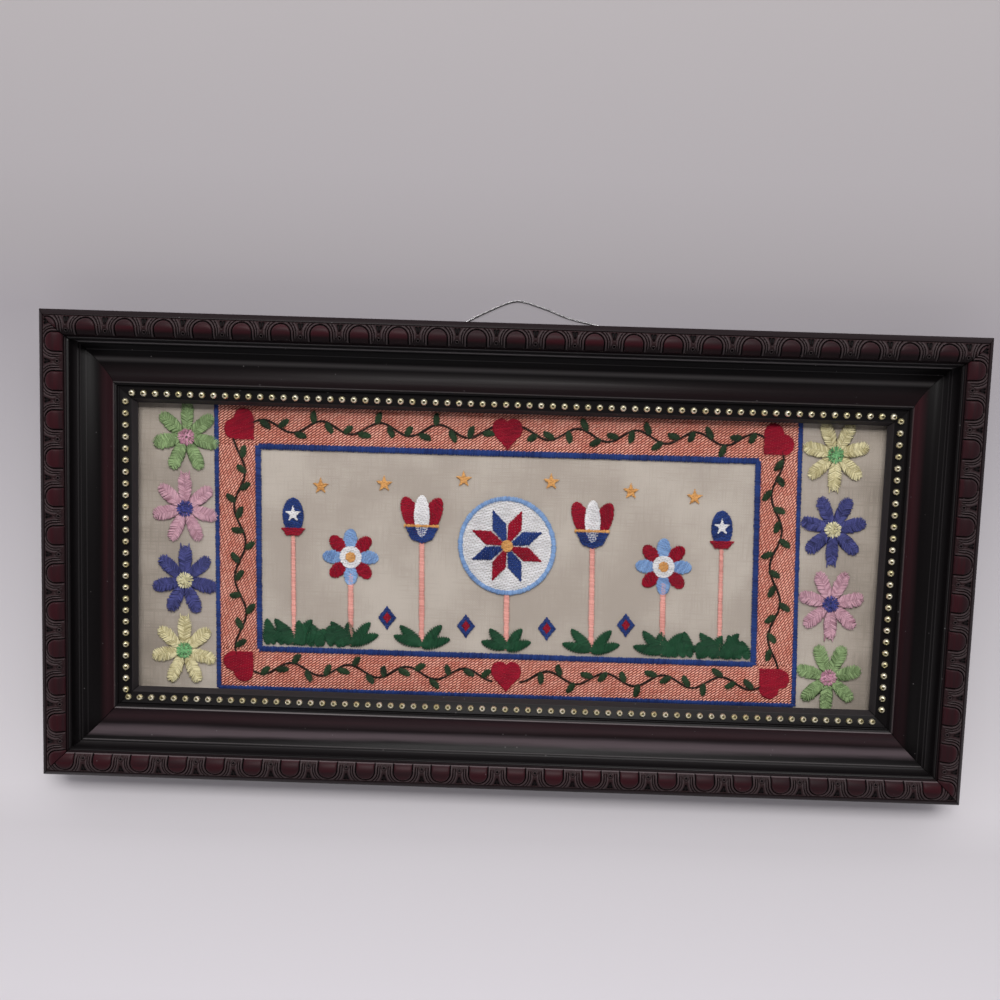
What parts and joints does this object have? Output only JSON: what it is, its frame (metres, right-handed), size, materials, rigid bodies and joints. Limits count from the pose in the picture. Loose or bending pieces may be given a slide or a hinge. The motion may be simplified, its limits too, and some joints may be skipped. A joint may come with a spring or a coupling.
{
  "type": "framed embroidered cloth panel",
  "caption": "Oblong embroidered cloth panel with floral end trim, under glass in a deep scooped dark wood frame with an egg and dart rim, gilt beads and a hanging wire.",
  "frame": {"origin": "middle of the back board's underside, which the frame rests on when it lies face up", "axes": "+X along the frame to the right of its face, +Y towards the top edge that it hangs by, +Z out of the face"},
  "size_m": [0.457, 0.2432, 0.0247],
  "materials": {
    "dark_wood": "black and mahogany satin lacquer",
    "mahogany_ornament": "mahogany stain, black in the hollows, satin",
    "picture_glass": "clear polished",
    "cream_cloth": "plain woven, matt",
    "green_thread": "lustrous thread",
    "pink_thread": "lustrous thread",
    "violet_thread": "lustrous thread",
    "yellow_thread": "lustrous thread",
    "salmon_thread": "lustrous thread",
    "blue_thread": "lustrous thread",
    "crimson_thread": "lustrous thread",
    "leaf_thread": "lustrous thread",
    "white_thread": "lustrous thread",
    "gold_thread": "lustrous thread",
    "gilt_bead": "pale gilt, polished",
    "brown_board": "bare pressed board",
    "steel": "bright drawn"
  },
  "bodies": {
    "root": {"back_board": "brown_board", "board_pin_1": "steel", "board_pin_10": "steel", "board_pin_2": "steel", "board_pin_3": "steel", "board_pin_4": "steel", "board_pin_5": "steel", "board_pin_6": "steel", "board_pin_7": "steel", "board_pin_8": "steel", "board_pin_9": "steel", "cloth_panel": "cream_cloth", "daisy_left_1": "green_thread", "daisy_left_2": "pink_thread", "daisy_left_3": "violet_thread", "daisy_left_4": "yellow_thread", "daisy_right_1": "yellow_thread", "daisy_right_2": "violet_thread", "daisy_right_3": "pink_thread", "daisy_right_4": "green_thread", "glass": "picture_glass", "hanger_screw_left": "steel", "hanger_screw_right": "steel", "hanging_wire": "steel", "ornament_bottom": "mahogany_ornament", "ornament_left": "mahogany_ornament", "ornament_right": "mahogany_ornament", "ornament_top": "mahogany_ornament", "rail_bottom": "dark_wood", "rail_left": "dark_wood", "rail_right": "dark_wood", "rail_top": "dark_wood"}
  },
  "joints": []
}
